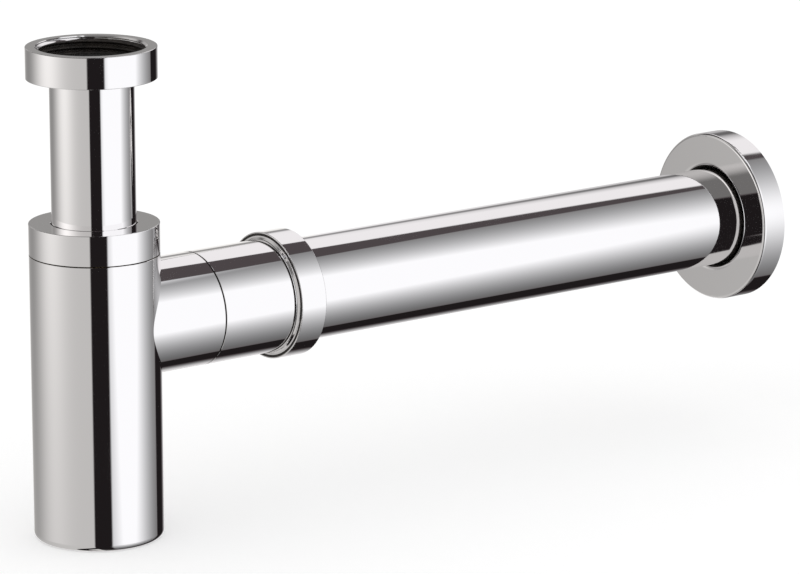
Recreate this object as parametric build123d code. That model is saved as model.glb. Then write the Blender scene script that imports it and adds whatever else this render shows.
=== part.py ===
from build123d import *
import os

# A round bottle trap for a wash basin, with a straight wall pipe and a cover flange.
# Origin: the centre of the inlet nut's mouth. +Z is up, along the inlet tube.
# +X is the outlet pipe's direction, to the wall. All sizes are in millimetres.

# Heights, from the inlet nut's mouth down to the bottle's floor
inlet_nut_height = 12.0
tube_showing = 55.2
cap_height = 12.0
stub_below_seam = 6.0
water_seal = 50.0
floor_room = 11.0

# Lengths along the outlet, from the bottle's axis to the pipe's free end
stub_reach = 44.5
sleeve_showing = 34.0
outlet_nut_length = 11.5
pipe_showing = 215.5
flange_depth = 11.0
pipe_past_flange = 9.0

# Diameters and walls
tube_diameter = 32.0
tube_wall = 1.0
pipe_diameter = 40.0
pipe_wall = 1.0
bottle_wall = 1.5
base_thickness = 2.0
sleeve_wall = 2.0
inlet_nut_wall = 5.25
flange_diameter = 69.2
flange_sheet = 1.0

# Clearances
running_gap = 0.08
sliding_gap = 0.3
cap_seam_gap = 0.35
sleeve_seam_gap = 0.6

# Edges
base_rounding = 2.5
floor_rounding = 3.0
nut_rounding = 0.25
seam_chamfer = 0.1
hole_chamfer = 0.2

# Inlet nut: thread chamfer, washer groove and lip. The tube's collar sets the G 1 1/4 thread's size.
mouth_chamfer = 1.5
inlet_lip = 2.0
collar_step = 3.2
collar_thickness = 1.0
collar_play = 0.3
washer_thickness = 2.0
washer_grip = 0.4

# Cap nut, its slip ring and its seal, which set the bottle's diameter
cap_top_wall = 3.0
cap_skirt = 1.75
slip_ring_thickness = 1.5
cap_seal_height = 7.0
cap_seal_width = 4.92
seal_tip = 1.8
neck_wall = 2.0
neck_guide = 4.0
squeeze_room = 0.8

# Outlet sleeve, its spigot and O-ring
spigot_length = 7.2
spigot_end_gap = 0.3
spigot_wall = 1.6
stub_thread_wall = 1.55
oring_section = 1.3
oring_from_seam = 1.6
pipe_stop = 3.0
pipe_insert_gap = 6.0

# Outlet nut, its slip ring and its seal
outlet_lip = 1.8
outlet_skirt = 1.35
outlet_slip_thickness = 1.2
outlet_seal_length = 6.0
outlet_seal_width = 2.32
outlet_seal_tip = 0.6
head_wall = 1.0
flare_length = 0.7
flare_step = 0.7
flare_foot = 0.5

# Wall flange and its grip ring
flange_edge = 1.2
hole_rounding = 2.0
hole_gap = 0.7
collar_length = 3.8
grip_length = 4.7
grip_overlap = 2.1
grip_wall = 1.5

# Radii
tube_radius = tube_diameter / 2
tube_bore = tube_radius - tube_wall
pipe_radius = pipe_diameter / 2
pipe_bore = pipe_radius - pipe_wall
sleeve_radius = pipe_radius + sleeve_wall
flange_radius = flange_diameter / 2
tube_hole = tube_radius + sliding_gap
pipe_hole = pipe_radius + sliding_gap

# Levels along Z
nut_bottom_z = -inlet_nut_height
lip_top_z = nut_bottom_z + inlet_lip
collar_bottom_z = lip_top_z + collar_play
collar_top_z = collar_bottom_z + collar_thickness
washer_top_z = collar_top_z + washer_thickness
cap_top_z = nut_bottom_z - tube_showing
seam_z = cap_top_z - cap_height
cap_bottom_z = seam_z + cap_seam_gap
outlet_z = seam_z - stub_below_seam - sleeve_radius
tube_bottom_z = outlet_z - pipe_bore - water_seal
floor_z = tube_bottom_z - floor_room
base_z = floor_z - base_thickness
slip_top_z = cap_top_z - cap_top_wall
cap_seal_top_z = slip_top_z - slip_ring_thickness
cap_seal_bottom_z = cap_seal_top_z - cap_seal_height
neck_top_z = cap_seal_top_z - squeeze_room
neck_bottom_z = cap_seal_bottom_z - sliding_gap - neck_guide

# Stations along X
sleeve_start_x = stub_reach + sleeve_seam_gap
nut_start_x = stub_reach + sleeve_showing
nut_end_x = nut_start_x + outlet_nut_length
outlet_slip_end_x = nut_end_x - outlet_lip
outlet_seal_end_x = outlet_slip_end_x - outlet_slip_thickness
outlet_seal_start_x = outlet_seal_end_x - outlet_seal_length
head_end_x = outlet_seal_end_x - squeeze_room
pipe_seat_x = stub_reach + pipe_stop
pipe_start_x = pipe_seat_x + pipe_insert_gap
flange_front_x = nut_end_x + pipe_showing
flange_back_x = flange_front_x + flange_depth
pipe_end_x = flange_back_x + pipe_past_flange

# Radii of the screwed and tapered fits, from the tubes outwards
collar_radius = tube_radius + collar_step
inlet_thread_radius = collar_radius + sliding_gap
inlet_nut_radius = inlet_thread_radius + inlet_nut_wall
cap_seal_tip_radius = tube_radius + seal_tip
cap_seal_radius = tube_radius + cap_seal_width
neck_radius = cap_seal_radius + neck_wall
cap_thread_radius = neck_radius + running_gap
bottle_radius = cap_thread_radius + cap_skirt
stub_thread_radius = sleeve_radius - stub_thread_wall
spigot_radius = stub_thread_radius - running_gap
groove_radius = spigot_radius - oring_section
spigot_bore = groove_radius - spigot_wall
outlet_seal_tip_radius = pipe_radius + outlet_seal_tip
outlet_seal_radius = pipe_radius + outlet_seal_width
head_radius = outlet_seal_radius + head_wall
outlet_thread_radius = head_radius + running_gap
outlet_nut_radius = outlet_thread_radius + outlet_skirt
flange_collar_radius = pipe_radius + hole_gap


def turned(*corners):
    """Turn an outline about +Z. A corner is (radius, height), or (radius, height, rounding)."""
    points = [(corner[0], 0, corner[1]) for corner in corners]
    roundings = [corner[2] if len(corner) == 3 else 0 for corner in corners]
    outline = FilletPolyline(*points, radius=roundings, close=True)
    return revolve(make_face(outline), axis=Axis.Z)


def on_outlet(piece):
    """Lay a piece turned about +Z along the outlet's axis, so that its heights become X."""
    return Pos(0, 0, outlet_z) * Rot(0, 90, 0) * piece


def cone_radius(place, tip, tip_radius, mouth, mouth_radius):
    """Radius of a cone at a place along its axis, between its tip and its mouth."""
    return tip_radius + (mouth_radius - tip_radius) * (place - tip) / (mouth - tip)


def inlet_nut():
    """Union nut: chamfered mouth, thread wall, washer groove and a lip that pulls on the collar."""
    groove = inlet_thread_radius + washer_grip + sliding_gap
    return turned(
        (inlet_thread_radius + mouth_chamfer, 0),
        (inlet_nut_radius, 0, nut_rounding),
        (inlet_nut_radius, nut_bottom_z, nut_rounding),
        (tube_hole, nut_bottom_z),
        (tube_hole, lip_top_z),
        (groove, lip_top_z),
        (groove, washer_top_z),
        (inlet_thread_radius, washer_top_z),
        (inlet_thread_radius, -mouth_chamfer),
    )


def inlet_washer():
    """Flat washer that snaps past the thread into its groove and rests on the tube's collar."""
    edge = inlet_thread_radius + washer_grip
    return turned(
        (tube_bore, collar_top_z),
        (edge, collar_top_z),
        (edge, washer_top_z),
        (tube_bore, washer_top_z),
    )


def inlet_tube():
    """Tube with its end turned out into a collar, long enough to stand in the water seal."""
    return turned(
        (tube_bore, collar_top_z, collar_thickness / 2),
        (collar_radius, collar_top_z),
        (collar_radius, collar_bottom_z),
        (tube_radius, collar_bottom_z),
        (tube_radius, tube_bottom_z),
        (tube_bore, tube_bottom_z),
    )


def cap_nut():
    """Compression nut on the bottle's neck, as wide as the bottle, held just off it by the seal."""
    return turned(
        (tube_hole + hole_chamfer, cap_top_z),
        (bottle_radius, cap_top_z, nut_rounding),
        (bottle_radius, cap_bottom_z + seam_chamfer),
        (bottle_radius - seam_chamfer, cap_bottom_z),
        (cap_thread_radius, cap_bottom_z),
        (cap_thread_radius, slip_top_z),
        (tube_hole, slip_top_z),
        (tube_hole, cap_top_z - hole_chamfer),
    )


def cap_slip_ring():
    """Hard ring that lets the cap nut turn without dragging its seal."""
    return turned(
        (tube_hole, cap_seal_top_z),
        (cap_seal_radius, cap_seal_top_z),
        (cap_seal_radius, slip_top_z),
        (tube_hole, slip_top_z),
    )


def cap_seal():
    """Tapered seal round the inlet tube."""
    inside = tube_radius + running_gap
    return turned(
        (inside, cap_seal_top_z),
        (cap_seal_radius, cap_seal_top_z),
        (cap_seal_tip_radius, cap_seal_bottom_z),
        (inside, cap_seal_bottom_z),
    )


def bottle_outside():
    """Bottle with a rounded base and a narrower neck for the cap nut."""
    return turned(
        (0, base_z),
        (bottle_radius, base_z, base_rounding),
        (bottle_radius, seam_z - seam_chamfer),
        (bottle_radius - seam_chamfer, seam_z),
        (neck_radius, seam_z),
        (neck_radius, neck_top_z),
        (0, neck_top_z),
    )


def bottle_chamber():
    """The water chamber, the neck's guide bore and the cone that the cap seal sits in."""
    inside = bottle_radius - bottle_wall
    seat_bottom_z = cap_seal_bottom_z - sliding_gap
    cone = (cap_seal_bottom_z, cap_seal_tip_radius, cap_seal_top_z, cap_seal_radius)
    return turned(
        (0, floor_z),
        (inside, floor_z, floor_rounding),
        (inside, neck_bottom_z),
        (tube_hole, neck_bottom_z),
        (tube_hole, seat_bottom_z),
        (cone_radius(seat_bottom_z, *cone) + running_gap, seat_bottom_z),
        (cone_radius(neck_top_z, *cone) + running_gap, neck_top_z),
        (0, neck_top_z),
    )


def outlet_stub():
    """Round stub from the bottle's axis to the seam."""
    return on_outlet(turned(
        (0, 0),
        (sleeve_radius, 0),
        (sleeve_radius, stub_reach - seam_chamfer),
        (sleeve_radius - seam_chamfer, stub_reach),
        (0, stub_reach),
    ))


def outlet_stub_bore():
    """The way out of the chamber, widened at the seam for the sleeve's spigot."""
    thread_end = stub_reach - spigot_length - spigot_end_gap
    return on_outlet(turned(
        (0, 0),
        (pipe_bore, 0),
        (pipe_bore, thread_end),
        (stub_thread_radius, thread_end),
        (stub_thread_radius, stub_reach),
        (0, stub_reach),
    ))


def bottle():
    """Bottle and outlet stub, brazed into one hollow piece."""
    return bottle_outside() + outlet_stub() - bottle_chamber() - outlet_stub_bore()


def outlet_sleeve():
    """Sleeve that carries the pipe: screwed spigot, pipe stop, plain barrel, low shoulder, coned head."""
    spigot_start = stub_reach - spigot_length
    groove_end = stub_reach - oring_from_seam
    groove_start = groove_end - oring_section
    flare_start = nut_start_x - flare_length
    cone = (outlet_seal_start_x, outlet_seal_tip_radius, outlet_seal_end_x, outlet_seal_radius)
    seat_start = outlet_seal_start_x - sliding_gap
    return on_outlet(turned(
        (spigot_bore, spigot_start),
        (spigot_radius, spigot_start),
        (spigot_radius, groove_start),
        (groove_radius, groove_start),
        (groove_radius, groove_end),
        (spigot_radius, groove_end),
        (spigot_radius, sleeve_start_x),
        (sleeve_radius - seam_chamfer, sleeve_start_x),
        (sleeve_radius, sleeve_start_x + seam_chamfer),
        (sleeve_radius, flare_start, flare_foot),
        (sleeve_radius + flare_step, nut_start_x),
        (head_radius, nut_start_x),
        (head_radius, head_end_x),
        (cone_radius(head_end_x, *cone) + running_gap, head_end_x),
        (cone_radius(seat_start, *cone) + running_gap, seat_start),
        (pipe_hole, seat_start),
        (pipe_hole, pipe_seat_x),
        (spigot_bore, pipe_seat_x),
    ))


def sleeve_oring():
    """O-ring in the spigot's groove."""
    section = oring_section / 2
    middle = stub_reach - oring_from_seam - section
    return on_outlet(Pos(0, 0, middle) * Torus(groove_radius + section, section))


def outlet_nut():
    """Compression nut round the pipe. Its open end lies flush with the sleeve's shoulder."""
    return on_outlet(turned(
        (outlet_thread_radius + hole_chamfer, nut_start_x),
        (outlet_nut_radius, nut_start_x, nut_rounding),
        (outlet_nut_radius, nut_end_x, nut_rounding),
        (pipe_hole, nut_end_x),
        (pipe_hole, outlet_slip_end_x),
        (outlet_thread_radius, outlet_slip_end_x),
        (outlet_thread_radius, nut_start_x + hole_chamfer),
    ))


def outlet_slip_ring():
    """Hard ring between the outlet nut and its seal."""
    return on_outlet(turned(
        (pipe_hole, outlet_seal_end_x),
        (outlet_seal_radius, outlet_seal_end_x),
        (outlet_seal_radius, outlet_slip_end_x),
        (pipe_hole, outlet_slip_end_x),
    ))


def outlet_seal():
    """Tapered seal round the outlet pipe."""
    inside = pipe_radius + running_gap
    return on_outlet(turned(
        (inside, outlet_seal_start_x),
        (outlet_seal_tip_radius, outlet_seal_start_x),
        (outlet_seal_radius, outlet_seal_end_x),
        (inside, outlet_seal_end_x),
    ))


def outlet_pipe():
    """Plain pipe from the sleeve to past the wall's face."""
    return on_outlet(turned(
        (pipe_bore, pipe_start_x),
        (pipe_radius, pipe_start_x),
        (pipe_radius, pipe_end_x),
        (pipe_bore, pipe_end_x),
    ))


def wall_flange():
    """Pressed cover: flat face, rim to the wall, and an edge rolled in round the pipe."""
    inside_front = flange_front_x + flange_sheet
    inside_rim = flange_radius - flange_sheet
    collar_outside = flange_collar_radius + flange_sheet
    collar_end = flange_front_x + hole_rounding + collar_length
    inner_rounding = hole_rounding - flange_sheet
    return on_outlet(turned(
        (flange_collar_radius, flange_front_x, hole_rounding),
        (flange_radius, flange_front_x, flange_edge),
        (flange_radius, flange_back_x),
        (inside_rim, flange_back_x),
        (inside_rim, inside_front, flange_edge - flange_sheet),
        (collar_outside, inside_front, inner_rounding),
        (collar_outside, collar_end),
        (flange_collar_radius, collar_end),
    ))


def flange_grip_ring():
    """Rubber ring clipped over the end of the flange's collar, gripping the pipe."""
    collar_outside = flange_collar_radius + flange_sheet
    collar_end = flange_front_x + hole_rounding + collar_length
    ring_outside = collar_outside + running_gap + grip_wall
    ring_start = collar_end - grip_overlap
    ring_end = ring_start + grip_length
    return on_outlet(turned(
        (pipe_radius + running_gap, collar_end),
        (collar_outside + running_gap, collar_end),
        (collar_outside + running_gap, ring_start),
        (ring_outside, ring_start),
        (ring_outside, ring_end),
        (pipe_radius + running_gap, ring_end),
    ))


pieces = {
    "inlet_nut": inlet_nut(),
    "inlet_washer": inlet_washer(),
    "inlet_tube": inlet_tube(),
    "cap_nut": cap_nut(),
    "cap_slip_ring": cap_slip_ring(),
    "cap_seal": cap_seal(),
    "bottle": bottle(),
    "outlet_sleeve": outlet_sleeve(),
    "sleeve_oring": sleeve_oring(),
    "outlet_nut": outlet_nut(),
    "outlet_slip_ring": outlet_slip_ring(),
    "outlet_seal": outlet_seal(),
    "outlet_pipe": outlet_pipe(),
    "wall_flange": wall_flange(),
    "flange_grip_ring": flange_grip_ring(),
}

os.makedirs("parts", exist_ok=True)
for name, piece in pieces.items():
    export_step(piece, f"parts/{name}.step")
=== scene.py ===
import math

import bpy
from bpy.props import FloatProperty, FloatVectorProperty, IntProperty, PointerProperty
from mathutils import Matrix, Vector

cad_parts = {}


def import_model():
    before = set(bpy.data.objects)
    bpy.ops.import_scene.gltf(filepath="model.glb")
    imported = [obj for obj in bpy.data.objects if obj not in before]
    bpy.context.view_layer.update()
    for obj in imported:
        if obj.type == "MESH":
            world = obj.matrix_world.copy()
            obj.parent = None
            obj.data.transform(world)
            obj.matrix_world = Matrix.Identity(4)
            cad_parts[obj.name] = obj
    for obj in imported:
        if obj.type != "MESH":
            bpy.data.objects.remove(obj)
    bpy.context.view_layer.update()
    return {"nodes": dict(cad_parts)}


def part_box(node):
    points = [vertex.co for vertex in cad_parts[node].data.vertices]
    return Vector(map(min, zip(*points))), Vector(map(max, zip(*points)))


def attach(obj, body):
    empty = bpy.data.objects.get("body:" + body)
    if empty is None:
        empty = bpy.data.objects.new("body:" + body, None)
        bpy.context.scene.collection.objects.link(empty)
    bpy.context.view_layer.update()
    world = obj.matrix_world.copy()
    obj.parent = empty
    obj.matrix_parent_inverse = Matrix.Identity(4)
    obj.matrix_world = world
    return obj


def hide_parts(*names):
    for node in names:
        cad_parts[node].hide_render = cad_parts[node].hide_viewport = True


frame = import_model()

bl_info = {
    "name": "Bottle trap finishes",
    "version": (1, 0, 0),
    "blender": (4, 5, 0),
    "location": "View3D > Sidebar > Bottle Trap",
    "description": "Chrome, rubber and plastic finishes, the cut inlet thread and the studio of a trap",
    "category": "Object",
}

MM = 0.001

# Axes that the zones below are measured from
UPRIGHT, OUTLET = "upright", "outlet"
# Bare brass inside each plated piece, painted near black as shade where it lies in a narrow gap: axis,
# radius, and the stretch along the axis, all in mm
BARE_AND_GAP_SHADE_ZONES = {
    "inlet_tube": ((UPRIGHT, 15.1, -400, 10),),
    "cap_nut": ((UPRIGHT, 24.63, -400, -67.45),),
    "bottle": ((UPRIGHT, 24.63, -186.2, 10), (OUTLET, 21.88, 5, 400)),
    "outlet_sleeve": ((OUTLET, 21.88, 0, 400),),
    # The outlet nut's zones are its front face and bore beside the sleeve, painted near black as the shade
    # of the gap
    "outlet_nut": ((OUTLET, 24.3, 78.3, 78.8), (OUTLET, 24.6, 78.75, 89.75)),
    "outlet_pipe": ((OUTLET, 19.1, 0, 400),),
    "wall_flange": ((OUTLET, 22.0, 305.95, 400),),
}
# The same for the threaded nut: its thread and groove under the plated lead-in, painted near black as the
# shade in its mouth
THREAD_GAP_SHADE_ZONES = ((UPRIGHT, 20.95, -11.9, -1.3),)
# Pieces whose bare brass in a narrow gap is painted near black, as painted shade
GAP_SHADED_PIECES = ("inlet_nut", "cap_nut", "outlet_sleeve", "outlet_nut", "wall_flange")
RUBBER_NODES = ("inlet_washer", "cap_seal", "sleeve_oring", "outlet_seal", "flange_grip_ring")
PLASTIC_NODES = ("cap_slip_ring", "outlet_slip_ring")
# Steps of a quarter rounding, and the facets of the light tent upwards and round
ROUNDING_STEPS = 6
TENT_ROWS, TENT_TURNS = 48, 96
# Strength of the tent's dark parts, where 1 is white, and the tints of its light
BLACK_CARD, UNLIT = 0.011, 0.02
WARM_CLOTH = (1.02, 1.0, 0.98, 1.0)
COOL_LAMP = (0.995, 0.998, 1.015, 1.0)
WARM_WALL = (1.025, 1.0, 1.01, 1.0)
PLUM_CARD = (1.22, 1.0, 1.06, 1.0)

nut_low, nut_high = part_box("inlet_nut")
washer_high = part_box("inlet_washer")[1]
bottle_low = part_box("bottle")[0]
outlet_axis = sum(corner.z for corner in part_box("outlet_pipe")) / 2


class Graph:
    """Short calls that add and join the nodes of one material or world."""

    def __init__(self, tree):
        self.tree = tree
        tree.nodes.clear()

    def node(self, kind, **settings):
        """Add a node and set its own attributes."""
        made = self.tree.nodes.new(kind)
        for name, value in settings.items():
            setattr(made, name, value)
        return made

    def feed(self, socket, value):
        """Set a socket to a value, or join it to another socket."""
        if isinstance(value, bpy.types.NodeSocket):
            self.tree.links.new(value, socket)
        else:
            socket.default_value = value

    def math(self, operation, *values, clamp=False):
        """One Math node; its values are numbers or sockets."""
        made = self.node("ShaderNodeMath", operation=operation, use_clamp=clamp)
        for socket, value in zip(made.inputs, values):
            self.feed(socket, value)
        return made.outputs[0]

    def vector_math(self, operation, *values, output=0):
        """One Vector Math node; output 1 is its number."""
        made = self.node("ShaderNodeVectorMath", operation=operation)
        for socket, value in zip(made.inputs, values):
            self.feed(socket, value)
        return made.outputs[output]

    def smooth(self, value, start, end):
        """0 before start, 1 after end, and a smooth step between them. End may be the smaller one."""
        made = self.node("ShaderNodeMapRange", interpolation_type="SMOOTHSTEP")
        low, high = min(start, end), max(start, end)
        self.feed(made.inputs["Value"], value)
        made.inputs["From Min"].default_value = low
        made.inputs["From Max"].default_value = high
        made.inputs["To Min"].default_value = 0.0 if start < end else 1.0
        made.inputs["To Max"].default_value = 1.0 if start < end else 0.0
        return made.outputs["Result"]

    def band(self, value, start, end, soft_start, soft_end):
        """1 from start to end, with a soft edge at each side."""
        rise = self.smooth(value, start - soft_start / 2, start + soft_start / 2)
        fall = self.smooth(value, end + soft_end / 2, end - soft_end / 2)
        return self.math("MULTIPLY", rise, fall)

    def blend(self, share, first, second):
        """Number that goes from first to second as share goes from 0 to 1."""
        made = self.node("ShaderNodeMix", data_type="FLOAT")
        for socket, value in zip(made.inputs[:1] + made.inputs[2:4], (share, first, second)):
            self.feed(socket, value)
        return made.outputs[0]


class ChromeSettings(bpy.types.PropertyGroup):
    """Polished chrome plate."""
    colour: FloatVectorProperty(
        name="Plate colour", description="Colour that the plate gives to what it mirrors",
        subtype="COLOR", size=4, min=0, max=1, default=(0.925, 0.915, 0.92, 1.0))
    roughness: FloatProperty(
        name="Roughness", description="Blur of the mirror image on clean plate", min=0, max=1,
        default=0.035)
    smudge: FloatProperty(
        name="Smudge", description="Extra roughness where the plate was handled", min=0, max=1,
        default=0.035)
    smudge_size: FloatProperty(
        name="Smudge size", description="Width of one smudge", subtype="DISTANCE", unit="LENGTH",
        default=0.018)
    ripple: FloatProperty(
        name="Ripple", description="Depth of the polishing waves", subtype="DISTANCE", unit="LENGTH",
        default=0.0000015, precision=6)
    ripple_size: FloatProperty(
        name="Ripple size", description="Length of one polishing wave", subtype="DISTANCE", unit="LENGTH",
        default=0.009)
    brass: FloatVectorProperty(
        name="Bare brass", description="Dull brass inside, where no plate goes", subtype="COLOR", size=4,
        min=0, max=1, default=(0.15, 0.110, 0.058, 1.0))
    tarnish: FloatVectorProperty(
        name="Tarnish", description="Darker patches in the bare brass", subtype="COLOR", size=4,
        min=0, max=1, default=(0.075, 0.055, 0.033, 1.0))
    # Painted shade: near-black colour that stands in for the shade inside narrow gaps
    gap_shade_colour: FloatVectorProperty(
        name="Blackened brass", description="Brass in narrow gaps, black with grease", subtype="COLOR",
        size=4, min=0, max=1, default=(0.030, 0.024, 0.020, 1.0))
    # Painted shade: the darker patches of the painted gap shade
    gap_shade_deep: FloatVectorProperty(
        name="Grime", description="Darkest patches in the narrow gaps", subtype="COLOR", size=4,
        min=0, max=1, default=(0.016, 0.013, 0.011, 1.0))
    brass_roughness: FloatProperty(
        name="Brass roughness", description="Dullness of the bare brass", default=0.6, min=0, max=1)
    patches: FloatProperty(
        name="Patches", description="Patches of tarnish in one metre", default=400.0, min=1)


class RubberSettings(bpy.types.PropertyGroup):
    """Matt moulded rubber of the washer and seals."""
    colour: FloatVectorProperty(
        name="Rubber colour", description="Colour of the rubber", subtype="COLOR", size=4, min=0, max=1,
        default=(0.022, 0.021, 0.020, 1.0))
    bloom: FloatVectorProperty(
        name="Bloom colour", description="Paler dust in the rubber's pores", subtype="COLOR", size=4,
        min=0, max=1, default=(0.050, 0.049, 0.047, 1.0))
    grain: FloatProperty(
        name="Grain size", description="Width of one grain of the mould's surface", subtype="DISTANCE",
        unit="LENGTH", default=0.0006)
    roughness: FloatProperty(
        name="Roughness", description="Dullness of the rubber", default=0.62, min=0, max=1)
    bump: FloatProperty(
        name="Bump", description="Depth of the grain", subtype="DISTANCE", unit="LENGTH", default=0.00004,
        precision=6)


class PlasticSettings(bpy.types.PropertyGroup):
    """Satin plastic of the two slip rings."""
    colour: FloatVectorProperty(
        name="Plastic colour", description="Colour of the slip rings", subtype="COLOR", size=4,
        min=0, max=1, default=(0.72, 0.71, 0.68, 1.0))
    shade: FloatVectorProperty(
        name="Flow colour", description="Colour of the faint flow marks", subtype="COLOR", size=4,
        min=0, max=1, default=(0.62, 0.61, 0.58, 1.0))
    grain: FloatProperty(
        name="Flow size", description="Width of one flow mark", subtype="DISTANCE", unit="LENGTH",
        default=0.004)
    roughness: FloatProperty(
        name="Roughness", description="Dullness of the plastic", default=0.38, min=0, max=1)
    bump: FloatProperty(
        name="Bump", description="Depth of the flow marks", subtype="DISTANCE", unit="LENGTH",
        default=0.00001, precision=6)


class ThreadSettings(bpy.types.PropertyGroup):
    """Parallel pipe thread in the inlet nut's mouth."""
    pitch: FloatProperty(
        name="Pitch", description="Height of one thread turn", subtype="DISTANCE", unit="LENGTH",
        default=2.309 * MM, precision=6)
    depth: FloatProperty(
        name="Depth", description="How far the thread is cut into the wall", subtype="DISTANCE",
        unit="LENGTH", default=1.3 * MM, precision=5)
    minor_radius: FloatProperty(
        name="Minor radius", description="Radius at the thread's crests", subtype="DISTANCE", unit="LENGTH",
        default=19.5 * MM, precision=5)
    mouth_chamfer: FloatProperty(
        name="Mouth chamfer", description="Height and width of the lead-in at the mouth",
        subtype="DISTANCE", unit="LENGTH", default=1.5 * MM, precision=5)
    runout: FloatProperty(
        name="Runout", description="Height over which the thread fades at its lower end",
        subtype="DISTANCE", unit="LENGTH", default=1.0 * MM, precision=5)
    start: FloatProperty(
        name="Start", description="Place of the thread's start round the mouth", subtype="ANGLE",
        default=0.0)
    groove_radius: FloatProperty(
        name="Groove radius", description="Radius of the seat for the washer", subtype="DISTANCE",
        unit="LENGTH", default=20.2 * MM, precision=5)
    hole_radius: FloatProperty(
        name="Hole radius", description="Radius of the hole for the tube", subtype="DISTANCE",
        unit="LENGTH", default=16.3 * MM, precision=5)
    lip: FloatProperty(
        name="Lip", description="Thickness of the lip under the tube's collar", subtype="DISTANCE",
        unit="LENGTH", default=2.0 * MM, precision=5)
    edge: FloatProperty(
        name="Outer edge", description="Rounding of the nut's outer edges", subtype="DISTANCE",
        unit="LENGTH", default=0.25 * MM, precision=5)
    rows: IntProperty(
        name="Rows", description="Rows of facets along the thread", default=64, min=16)
    segments: IntProperty(
        name="Segments", description="Facets round the nut", default=288, min=24)


class StageSettings(bpy.types.PropertyGroup):
    """Camera, floor and the light tent that the chrome mirrors."""
    lens: FloatProperty(
        name="Lens", description="Focal length on a 36 mm wide sensor", subtype="DISTANCE_CAMERA",
        default=214.42)
    aim: FloatVectorProperty(
        name="Aim", description="Point at the middle of the picture", subtype="TRANSLATION", unit="LENGTH",
        default=(144.25 * MM, 0.0, -113.6 * MM))
    distance: FloatProperty(
        name="Distance", description="From the camera to the aim", subtype="DISTANCE", unit="LENGTH",
        default=1.88298)
    heading: FloatProperty(
        name="Heading", description="Clockwise turn of the view from +Y, seen from above",
        subtype="ANGLE", default=math.radians(37.327))
    pitch: FloatProperty(
        name="Pitch", description="How far the camera looks down", subtype="ANGLE",
        default=math.radians(13.579))
    roll: FloatProperty(
        name="Roll", description="Turn of the picture about its middle", subtype="ANGLE",
        default=math.radians(-0.097))
    floor_colour: FloatVectorProperty(
        name="Floor colour", description="Colour of the pale floor", subtype="COLOR", size=4, min=0, max=1,
        default=(0.82, 0.82, 0.82, 1.0))
    floor_glow: FloatProperty(
        name="Floor glow", description="Added to the floor as it is seen, so that it is white", default=0.34)
    floor_reach: FloatProperty(
        name="Floor reach", description="From the floor's middle to its edge", subtype="DISTANCE",
        unit="LENGTH", default=6.0)
    sky_light: FloatProperty(
        name="Sky light", description="Strength of the white surroundings on the object", default=0.85)
    tent_radius: FloatProperty(
        name="Tent radius", description="Radius of the light tent", subtype="DISTANCE", unit="LENGTH",
        default=1.2)
    tent_centre: FloatVectorProperty(
        name="Tent centre", description="Middle of the light tent", subtype="TRANSLATION", unit="LENGTH",
        default=(0.05, 0.0, -0.10))


def bare_or_gap_shade_zone(g, place, zones):
    """1 where any of the zones has bare brass or the painted shade of a narrow gap."""
    parts = g.node("ShaderNodeSeparateXYZ")
    g.feed(parts.inputs[0], place)
    total = None
    for axis, radius, start, end in zones:
        if axis == UPRIGHT:
            along, across, up = parts.outputs["Z"], parts.outputs["X"], parts.outputs["Y"]
        else:
            along, across = parts.outputs["X"], parts.outputs["Y"]
            up = g.math("SUBTRACT", parts.outputs["Z"], outlet_axis)
        square = g.math("MULTIPLY_ADD", across, across, g.math("MULTIPLY", up, up))
        inside = g.math("LESS_THAN", square, (radius * MM) ** 2)
        inside = g.math("MULTIPLY", inside, g.math("GREATER_THAN", along, start * MM))
        inside = g.math("MULTIPLY", inside, g.math("LESS_THAN", along, end * MM))
        total = inside if total is None else g.math("MAXIMUM", total, inside)
    return total


def bare_brass(g, place, settings, black):
    """Shader of dull brass in two patchy colours; in a narrow gap two near-black colours paint the gap's
    shade instead.
    """
    first, second = settings.brass, settings.tarnish
    # Painted shade: near-black colours in place of the brass in narrow gaps
    if black:
        first, second = settings.gap_shade_colour, settings.gap_shade_deep
    cloud = g.node("ShaderNodeTexNoise", noise_dimensions="3D")
    g.feed(cloud.inputs["Vector"], place)
    cloud.inputs["Scale"].default_value = settings.patches
    cloud.inputs["Detail"].default_value = 3.0
    colours = g.node("ShaderNodeMix", data_type="RGBA")
    g.feed(colours.inputs["Factor"], g.smooth(cloud.outputs["Fac"], 0.4, 0.65))
    colours.inputs["A"].default_value = first
    colours.inputs["B"].default_value = second
    shader = g.node("ShaderNodeBsdfPrincipled")
    g.feed(shader.inputs["Base Color"], colours.outputs["Result"])
    shader.inputs["Roughness"].default_value = settings.brass_roughness
    return shader.outputs["BSDF"]


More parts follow.
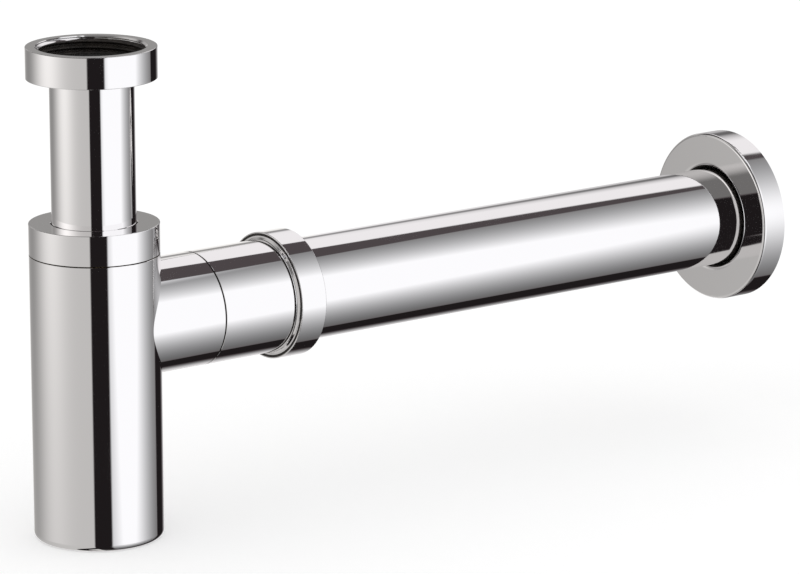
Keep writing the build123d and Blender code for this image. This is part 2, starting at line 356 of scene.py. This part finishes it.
def chrome_plate(settings, node, zones):
    """Mirror plate with faint polishing waves and smudges, and bare brass in the zones inside, painted near
    black as shade in the narrow gaps of some pieces.
    """
    made = bpy.data.materials.new("chrome_" + node)
    made.use_nodes = True
    g = Graph(made.node_tree)
    place = g.node("ShaderNodeTexCoord").outputs["Object"]
    smudge = g.node("ShaderNodeTexNoise", noise_dimensions="3D")
    g.feed(smudge.inputs["Vector"], place)
    smudge.inputs["Scale"].default_value = 1 / settings.smudge_size
    smudge.inputs["Detail"].default_value = 4.0
    ripple = g.node("ShaderNodeTexNoise", noise_dimensions="3D")
    g.feed(ripple.inputs["Vector"], place)
    ripple.inputs["Scale"].default_value = 1 / settings.ripple_size
    ripple.inputs["Detail"].default_value = 2.0
    patch = g.smooth(smudge.outputs["Fac"], 0.45, 0.75)
    roughness = g.math("MULTIPLY_ADD", patch, settings.smudge, settings.roughness)
    bump = g.node("ShaderNodeBump")
    bump.inputs["Distance"].default_value = settings.ripple
    g.feed(bump.inputs["Height"], ripple.outputs["Fac"])
    shader = g.node("ShaderNodeBsdfPrincipled")
    shader.inputs["Base Color"].default_value = settings.colour
    shader.inputs["Metallic"].default_value = 1.0
    g.feed(shader.inputs["Roughness"], roughness)
    g.feed(shader.inputs["Normal"], bump.outputs["Normal"])
    both = g.node("ShaderNodeMixShader")
    g.feed(both.inputs[0], bare_or_gap_shade_zone(g, place, zones))
    g.feed(both.inputs[1], shader.outputs["BSDF"])
    # Near-black painted shade in the zones of pieces with narrow gaps, plain bare brass in the others
    g.feed(both.inputs[2], bare_brass(g, place, settings, node in GAP_SHADED_PIECES))
    output = g.node("ShaderNodeOutputMaterial")
    g.feed(output.inputs["Surface"], both.outputs[0])
    return made


def moulded(name, settings, second):
    """Moulded rubber or plastic: two close colours in a fine grain, and a slight bump."""
    made = bpy.data.materials.new(name)
    made.use_nodes = True
    g = Graph(made.node_tree)
    place = g.node("ShaderNodeTexCoord").outputs["Object"]
    grain = g.node("ShaderNodeTexNoise", noise_dimensions="3D")
    g.feed(grain.inputs["Vector"], place)
    grain.inputs["Scale"].default_value = 1 / settings.grain
    grain.inputs["Detail"].default_value = 3.0
    colours = g.node("ShaderNodeMix", data_type="RGBA")
    g.feed(colours.inputs["Factor"], g.smooth(grain.outputs["Fac"], 0.4, 0.7))
    colours.inputs["A"].default_value = settings.colour
    colours.inputs["B"].default_value = second
    bump = g.node("ShaderNodeBump")
    bump.inputs["Distance"].default_value = settings.bump
    g.feed(bump.inputs["Height"], grain.outputs["Fac"])
    shader = g.node("ShaderNodeBsdfPrincipled")
    g.feed(shader.inputs["Base Color"], colours.outputs["Result"])
    shader.inputs["Roughness"].default_value = settings.roughness
    g.feed(shader.inputs["Normal"], bump.outputs["Normal"])
    output = g.node("ShaderNodeOutputMaterial")
    g.feed(output.inputs["Surface"], shader.outputs["BSDF"])
    return made


def dress(names, material):
    """Give a finish to CAD nodes whose shape is right."""
    for name in names:
        frame["nodes"][name].material_slots[0].material = material


class TRAP_OT_chrome(bpy.types.Operator):
    """Plate the tube, nuts, bottle, sleeve, pipe and flange"""
    bl_idname = "trap.plate_chrome"
    bl_label = "Plate chrome pieces"

    def execute(self, context):
        for name, zones in BARE_AND_GAP_SHADE_ZONES.items():
            dress([name], chrome_plate(context.scene.trap_chrome, name, zones))
        return {"FINISHED"}


def arc(radius, height, reach, start, end):
    """Steps of a quarter rounding: each has its radius, height and outward normal."""
    steps = []
    for index in range(ROUNDING_STEPS + 1):
        angle = math.radians(start + (end - start) * index / ROUNDING_STEPS)
        out, up = math.cos(angle), math.sin(angle)
        steps.append((radius + reach * out, height + reach * up, (out, up)))
    return steps


def flat(*points):
    """Straight walls through the points of a profile, each with its own outward normal."""
    walls = []
    for (r0, z0), (r1, z1) in zip(points, points[1:]):
        length = math.hypot(r1 - r0, z1 - z0)
        normal = ((z1 - z0) / length, (r0 - r1) / length)
        walls.append([(r0, z0, normal), (r1, z1, normal)])
    return walls


def thread_wall(settings, turn, height):
    """Radius and outward normal of the threaded wall at one turn angle and height."""
    top, foot = nut_high.z, washer_high.z
    fade = min(max((height - foot) / settings.runout, 0), 1)
    phase = 2 * math.pi * (height - top) / settings.pitch - turn + settings.start
    radius = settings.minor_radius + settings.depth * fade * 0.5 * (1 - math.cos(phase))
    slope = settings.depth * fade * math.pi / settings.pitch * math.sin(phase)
    twist = -settings.depth * fade * 0.5 * math.sin(phase) / radius
    lead_in = settings.minor_radius + settings.mouth_chamfer + height - top
    if lead_in > radius:
        radius, slope, twist = lead_in, 1.0, 0.0
    size = math.sqrt(1 + slope * slope + twist * twist)
    return radius, (-1 / size, twist / size, slope / size)


class TurnedSkin:
    """Skin of a turned piece, made ring by ring, with a normal of its own at each corner of each face."""

    def __init__(self, count):
        self.turns = [2 * math.pi * index / count for index in range(count)]
        self.points, self.normals, self.faces = [], [], []

    def ring(self, places):
        """Add one ring from the radius and height at each turn, and give its first index."""
        for (radius, height), t in zip(places, self.turns):
            self.points.append((radius * math.cos(t), radius * math.sin(t), height))
        return len(self.points) - len(self.turns)

    def around(self, normals):
        """Normals round one ring, from each one's outward, sideways and upward parts."""
        return [
            (out * math.cos(t) - aside * math.sin(t), out * math.sin(t) + aside * math.cos(t), up)
            for (out, aside, up), t in zip(normals, self.turns)]

    def same(self, normal):
        """Normals round one ring that is the same at every turn."""
        return self.around([(normal[0], 0.0, normal[1])] * len(self.turns))

    def join(self, upper, upper_normals, lower, lower_normals):
        """Join two rings with quads."""
        count = len(self.turns)
        for index in range(count):
            following = (index + 1) % count
            self.faces.append((upper + index, upper + following, lower + following, lower + index))
            self.normals += [
                upper_normals[index], upper_normals[following],
                lower_normals[following], lower_normals[index]]

    def mesh(self, name):
        """The finished mesh."""
        made = bpy.data.meshes.new(name)
        made.from_pydata(self.points, [], self.faces)
        made.update()
        made.polygons.foreach_set("use_smooth", [True] * len(made.polygons))
        made.normals_split_custom_set(self.normals)
        return made


def plain_walls(settings):
    """Profile of the nut from the thread's foot, through the groove and lip, up the outside to the mouth."""
    outside, high, low, edge = nut_high.x, nut_high.z, nut_low.z, settings.edge
    lip, seat = low + settings.lip, washer_high.z
    walls = flat(
        (settings.minor_radius, seat), (settings.groove_radius, seat), (settings.groove_radius, lip),
        (settings.hole_radius, lip), (settings.hole_radius, low), (outside - edge, low))
    walls.append(arc(outside - edge, low + edge, edge, -90, 0))
    walls += flat((outside, low + edge), (outside, high - edge))
    walls.append(arc(outside - edge, high - edge, edge, 0, 90))
    walls += flat((outside - edge, high), (settings.minor_radius + settings.mouth_chamfer, high))
    return walls


def threaded_nut(settings):
    """Inlet nut with the thread that the plain CAD wall stands for, as one closed skin."""
    skin = TurnedSkin(settings.segments)
    first = previous = previous_normals = None
    # Thread, from the mouth down to the washer's seat
    for row in range(settings.rows + 1):
        height = nut_high.z + (washer_high.z - nut_high.z) * row / settings.rows
        walls = [thread_wall(settings, turn, height) for turn in skin.turns]
        here = skin.ring([(radius, height) for radius, _ in walls])
        here_normals = skin.around([normal for _, normal in walls])
        if previous is None:
            first = here
        else:
            skin.join(previous, previous_normals, here, here_normals)
        previous, previous_normals = here, here_normals
    # Plain walls, from the seat back round to the mouth
    plain = plain_walls(settings)
    for steps in plain:
        for (_, _, start_normal), (radius, height, end_normal) in zip(steps, steps[1:]):
            closing = steps is plain[-1]
            here = first if closing else skin.ring([(radius, height)] * settings.segments)
            skin.join(previous, skin.same(start_normal), here, skin.same(end_normal))
            previous = here
    return skin.mesh("threaded_inlet_nut")


class TRAP_OT_thread(bpy.types.Operator):
    """Cut the thread into the inlet nut's mouth"""
    bl_idname = "trap.cut_thread"
    bl_label = "Cut inlet thread"

    def execute(self, context):
        mesh = threaded_nut(context.scene.trap_thread)
        mesh.materials.append(chrome_plate(context.scene.trap_chrome, "inlet_nut", THREAD_GAP_SHADE_ZONES))
        nut = bpy.data.objects.new("threaded_inlet_nut", mesh)
        context.scene.collection.objects.link(nut)
        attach(nut, "inlet_nut")
        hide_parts("inlet_nut")
        return {"FINISHED"}


class TRAP_OT_rubber(bpy.types.Operator):
    """Finish the washer, seals, O-ring and grip ring in black rubber"""
    bl_idname = "trap.finish_rubber"
    bl_label = "Finish rubber pieces"

    def execute(self, context):
        settings = context.scene.trap_rubber
        dress(RUBBER_NODES, moulded("black_moulded_rubber", settings, settings.bloom))
        return {"FINISHED"}


class TRAP_OT_plastic(bpy.types.Operator):
    """Finish the slip rings in satin plastic"""
    bl_idname = "trap.finish_plastic"
    bl_label = "Finish plastic rings"

    def execute(self, context):
        settings = context.scene.trap_plastic
        dress(PLASTIC_NODES, moulded("satin_white_plastic", settings, settings.shade))
        return {"FINISHED"}


# In the tent a heading turns from the camera's side to the picture's right, a height is above the
# horizon, and both are in degrees.


def tent_direction(heading, height):
    """Unit vector at a heading and a height."""
    turn, rise = math.radians(heading), math.radians(height)
    return (math.cos(rise) * math.cos(turn), math.cos(rise) * math.sin(turn), math.sin(rise))


def angle_from(g, direction, heading, height):
    """Angle between a direction and the place on the tent at a heading and a height."""
    cosine = g.vector_math("DOT_PRODUCT", direction, tent_direction(heading, height), output=1)
    return g.math("DEGREES", g.math("ARCCOSINE", cosine))


def bell(g, value, middle, spread):
    """1 at the middle, and a smooth fall to both sides."""
    away = g.math("DIVIDE", g.math("SUBTRACT", value, middle), spread)
    return g.math("POWER", math.exp(-1), g.math("MULTIPLY", away, away))


def right_lamps(g, direction, heading, height):
    """Right side: one broad lamp with a slow falloff, and a second one overhead."""
    off_lamp = g.math("SUBTRACT", angle_from(g, direction, 57, 6.5), 29.5)
    lamp = g.math("POWER", math.exp(-1 / 26), g.math("MAXIMUM", off_lamp, 0))
    lamp = g.math("MULTIPLY", lamp, 1.06)
    overhead = g.math("MULTIPLY", g.smooth(height, 53, 60), g.smooth(heading, 28, 40))
    return g.blend(overhead, lamp, 0.95)


def left_cloth(g, direction, heading, height):
    """Left side: pale cloth with a wide low lamp, darker towards the back and towards the ceiling."""
    lamp = g.math("MULTIPLY", bell(g, heading, -77, 28), bell(g, height, 8, 21))
    cloth = g.math("MULTIPLY_ADD", lamp, 0.62, 0.54)
    shade = bell(g, angle_from(g, direction, -133, 0), 0, 32)
    cloth = g.math("MULTIPLY_ADD", shade, -0.29, cloth)
    ceiling_shade = g.math("MULTIPLY", g.smooth(height, 24, 34), g.smooth(heading, -112, -78))
    return g.blend(ceiling_shade, cloth, 0.17)


def front_flag(g, parts, height):
    """Share of a black card in front, whose edges stay upright in the mirror image of a turned piece."""
    beyond = g.math("ADD", parts.outputs["X"], math.cos(math.radians(13.6)))
    upright = g.math("MULTIPLY", 2, g.math("DEGREES", g.math("ARCTAN2", parts.outputs["Y"], beyond)))
    # Low down, the left edge leans outwards
    foot = g.math("MULTIPLY", g.math("MINIMUM", g.math("ADD", height, 42), 0), -1.2)
    lean = g.math("ADD", upright, g.math("MULTIPLY", foot, g.smooth(upright, 4, -4)))
    return g.math("MULTIPLY", g.band(lean, -6.0, 23.8, 3, 4), g.smooth(height, 80, 74))


def rear_ceiling(g, heading, height, steep):
    """Pale ceiling behind the right lamp, which ends in a dark line."""
    end = g.math("MULTIPLY_ADD", height, 2.0, 51.0)
    end = g.math("MULTIPLY_ADD", steep, 2.4, end)
    end = g.math("MINIMUM", g.math("MAXIMUM", end, 110), 174)
    over = g.math("SUBTRACT", heading, end)
    dark_line = g.math("MULTIPLY", g.smooth(over, 3.5, -2.5), g.smooth(height, 61.5, 59.5))
    return g.blend(dark_line, 0.88, 0.065)


def rear_flag(g, heading, height, wall):
    """Black card behind the right lamp, with a soft edge towards the back wall."""
    start = g.math("MULTIPLY_ADD", height, -0.18, 147.5)
    start = g.math("MINIMUM", g.math("MAXIMUM", start, 150), 156)
    return g.blend(g.smooth(g.math("SUBTRACT", heading, start), 0, 34), BLACK_CARD, wall)


def tent_tone(g, direction, parts):
    """Strength of the light in each direction, and the heading that its tint follows."""
    heading = g.math("DEGREES", g.math("ARCTAN2", parts.outputs["Y"], parts.outputs["X"]))
    height = g.math("DEGREES", g.math("ARCSINE", parts.outputs["Z"]))
    left = left_cloth(g, direction, heading, height)
    tone = g.blend(g.smooth(heading, 10, 12), left, right_lamps(g, direction, heading, height))
    # Back wall: pale, with a grey band above the horizon
    wall = g.blend(g.band(height, 9, 20, 8, 8), 0.92, 0.30)
    tone = g.blend(g.smooth(heading, -150, -170), tone, wall)
    tone = g.blend(front_flag(g, parts, height), tone, BLACK_CARD)
    # What lies behind the right lamp starts at a hard edge
    steep = g.math("MAXIMUM", g.math("SUBTRACT", height, 49), 0)
    edge = g.math("MULTIPLY_ADD", g.math("MAXIMUM", height, -30), -0.07, 126.5)
    edge = g.math("MULTIPLY_ADD", steep, -1.2, edge)
    low = rear_flag(g, heading, height, wall)
    behind = g.blend(g.smooth(height, 16, 32), low, rear_ceiling(g, heading, height, steep))
    tone = g.blend(g.smooth(g.math("SUBTRACT", heading, edge), -1.5, 1.5), tone, behind)
    # Unlit roof over the back and the left, which the upper flanks of the inlet thread mirror
    roof = g.math("MULTIPLY", g.smooth(height, 60, 66), g.smooth(g.math("ABSOLUTE", heading), 150, 164))
    corner = g.math("MULTIPLY", g.smooth(height, 22, 34), g.smooth(heading, -122, -138))
    return g.blend(g.math("MAXIMUM", roof, corner), tone, UNLIT), heading


def tinted(g, share, first, second):
    """Colour that goes from first to second as share goes from 0 to 1."""
    mix = g.node("ShaderNodeMix", data_type="RGBA")
    for name, value in (("Factor", share), ("A", first), ("B", second)):
        g.feed(mix.inputs[name], value)
    return mix.outputs["Result"]


def tent_material():
    """Light that the chrome mirrors: two soft lamps on pale cloth, two black flags and a pale back wall."""
    made = bpy.data.materials.new("light_tent")
    made.use_nodes = True
    g = Graph(made.node_tree)
    direction = g.vector_math("NORMALIZE", g.node("ShaderNodeTexCoord").outputs["Object"])
    parts = g.node("ShaderNodeSeparateXYZ")
    g.feed(parts.inputs[0], direction)
    tone, heading = tent_tone(g, direction, parts)
    tint = tinted(g, g.smooth(heading, 8, 14), WARM_CLOTH, COOL_LAMP)
    tint = tinted(g, g.smooth(heading, 110, 128), tint, WARM_WALL)
    tint = tinted(g, g.smooth(tone, 0.16, 0.03), tint, PLUM_CARD)
    shader = g.node("ShaderNodeEmission")
    g.feed(shader.inputs["Color"], tint)
    g.feed(shader.inputs["Strength"], tone)
    output = g.node("ShaderNodeOutputMaterial")
    g.feed(output.inputs["Surface"], shader.outputs["Emission"])
    made.cycles.emission_sampling = "NONE"
    return made


def light_tent(settings):
    """Sphere round the object that only mirror images show."""
    mesh = bpy.data.meshes.new("light_tent")
    points, faces = [], []
    for row in range(TENT_ROWS + 1):
        rise = math.pi * (row / TENT_ROWS - 0.5)
        for turn in range(TENT_TURNS):
            angle = 2 * math.pi * turn / TENT_TURNS
            points.append((
                settings.tent_radius * math.cos(rise) * math.cos(angle),
                settings.tent_radius * math.cos(rise) * math.sin(angle),
                settings.tent_radius * math.sin(rise)))
    for row in range(TENT_ROWS):
        low, high = row * TENT_TURNS, (row + 1) * TENT_TURNS
        for turn in range(TENT_TURNS):
            following = (turn + 1) % TENT_TURNS
            faces.append((low + turn, low + following, high + following, high + turn))
    mesh.from_pydata(points, [], faces)
    tent = bpy.data.objects.new("light_tent", mesh)
    bpy.context.scene.collection.objects.link(tent)
    mesh.materials.append(tent_material())
    tent.location = settings.tent_centre
    tent.rotation_euler = (0, 0, -math.pi / 2 - settings.heading)
    tent.visible_camera = False
    tent.visible_diffuse = False
    tent.visible_shadow = False
    tent.visible_transmission = False


def seen_rays(g):
    """1 where the camera, a mirror image or a clear piece shows the surface."""
    rays = g.node("ShaderNodeLightPath")
    seen = g.math("ADD", rays.outputs["Is Camera Ray"], rays.outputs["Is Glossy Ray"])
    return g.math("ADD", seen, rays.outputs["Is Transmission Ray"], clamp=True)


def floor(settings):
    """Pale floor under the bottle, white where nothing shades it."""
    half, level = settings.floor_reach, bottle_low.z
    mesh = bpy.data.meshes.new("floor")
    mesh.from_pydata(
        [(-half, -half, level), (half, -half, level), (half, half, level), (-half, half, level)],
        [], [(0, 1, 2, 3)])
    plane = bpy.data.objects.new("floor", mesh)
    bpy.context.scene.collection.objects.link(plane)
    made = bpy.data.materials.new("pale_floor")
    made.use_nodes = True
    g = Graph(made.node_tree)
    seen = seen_rays(g)
    diffuse = g.node("ShaderNodeBsdfDiffuse")
    diffuse.inputs["Color"].default_value = settings.floor_colour
    glow = g.node("ShaderNodeEmission")
    g.feed(glow.inputs["Strength"], g.math("MULTIPLY", seen, settings.floor_glow))
    both = g.node("ShaderNodeAddShader")
    g.feed(both.inputs[0], diffuse.outputs["BSDF"])
    g.feed(both.inputs[1], glow.outputs["Emission"])
    output = g.node("ShaderNodeOutputMaterial")
    g.feed(output.inputs["Surface"], both.outputs[0])
    made.cycles.emission_sampling = "NONE"
    mesh.materials.append(made)
    plane.visible_glossy = False


def world(settings):
    """Even white surroundings."""
    made = bpy.data.worlds.new("studio")
    bpy.context.scene.world = made
    made.use_nodes = True
    g = Graph(made.node_tree)
    seen = seen_rays(g)
    sky = g.node("ShaderNodeBackground")
    sky.inputs["Color"].default_value = (1.0, 1.0, 1.0, 1.0)
    g.feed(sky.inputs["Strength"], g.blend(seen, settings.sky_light, 1.0))
    output = g.node("ShaderNodeOutputWorld")
    g.feed(output.inputs["Surface"], sky.outputs["Background"])


def camera(settings):
    """Camera at the photograph's angle."""
    look = bpy.data.cameras.new("camera")
    look.lens = settings.lens
    look.sensor_width = 36
    look.clip_end = 50
    made = bpy.data.objects.new("camera", look)
    bpy.context.scene.collection.objects.link(made)
    turn = (
        Matrix.Rotation(-settings.heading, 4, "Z")
        @ Matrix.Rotation(math.pi / 2 - settings.pitch, 4, "X")
        @ Matrix.Rotation(settings.roll, 4, "Z"))
    back = Matrix.Translation((0, 0, settings.distance))
    made.matrix_world = Matrix.Translation(settings.aim) @ turn @ back
    bpy.context.scene.camera = made


class TRAP_OT_stage(bpy.types.Operator):
    """Set the floor, the light tent, the surroundings and the camera"""
    bl_idname = "trap.set_stage"
    bl_label = "Set stage"

    def execute(self, context):
        settings = context.scene.trap_stage
        context.scene.view_settings.view_transform = "Standard"
        floor(settings)
        light_tent(settings)
        world(settings)
        camera(settings)
        return {"FINISHED"}


class TRAP_PT_panel(bpy.types.Panel):
    """Sidebar panel with every step and its settings"""
    bl_idname = "TRAP_PT_panel"
    bl_label = "Bottle Trap"
    bl_space_type = "VIEW_3D"
    bl_region_type = "UI"
    bl_category = "Bottle Trap"

    def draw(self, context):
        for operator, group in STEPS:
            box = self.layout.box()
            box.operator(operator.bl_idname)
            settings = getattr(context.scene, group)
            for name in settings.bl_rna.properties.keys():
                if name not in ("rna_type", "name"):
                    box.prop(settings, name)


STEPS = (
    (TRAP_OT_chrome, "trap_chrome"),
    (TRAP_OT_thread, "trap_thread"),
    (TRAP_OT_rubber, "trap_rubber"),
    (TRAP_OT_plastic, "trap_plastic"),
    (TRAP_OT_stage, "trap_stage"),
)
GROUPS = {
    "trap_chrome": ChromeSettings,
    "trap_rubber": RubberSettings,
    "trap_plastic": PlasticSettings,
    "trap_thread": ThreadSettings,
    "trap_stage": StageSettings,
}


def register():
    for name, group in GROUPS.items():
        bpy.utils.register_class(group)
        setattr(bpy.types.Scene, name, PointerProperty(type=group))
    for operator, _ in STEPS:
        bpy.utils.register_class(operator)
    bpy.utils.register_class(TRAP_PT_panel)


def unregister():
    bpy.utils.unregister_class(TRAP_PT_panel)
    for operator, _ in reversed(STEPS):
        bpy.utils.unregister_class(operator)
    for name, group in GROUPS.items():
        delattr(bpy.types.Scene, name)
        bpy.utils.unregister_class(group)


def main():
    register()
    bpy.ops.trap.plate_chrome()
    bpy.ops.trap.cut_thread()
    bpy.ops.trap.finish_rubber()
    bpy.ops.trap.finish_plastic()
    bpy.ops.trap.set_stage()


if __name__ == "__main__":
    main()
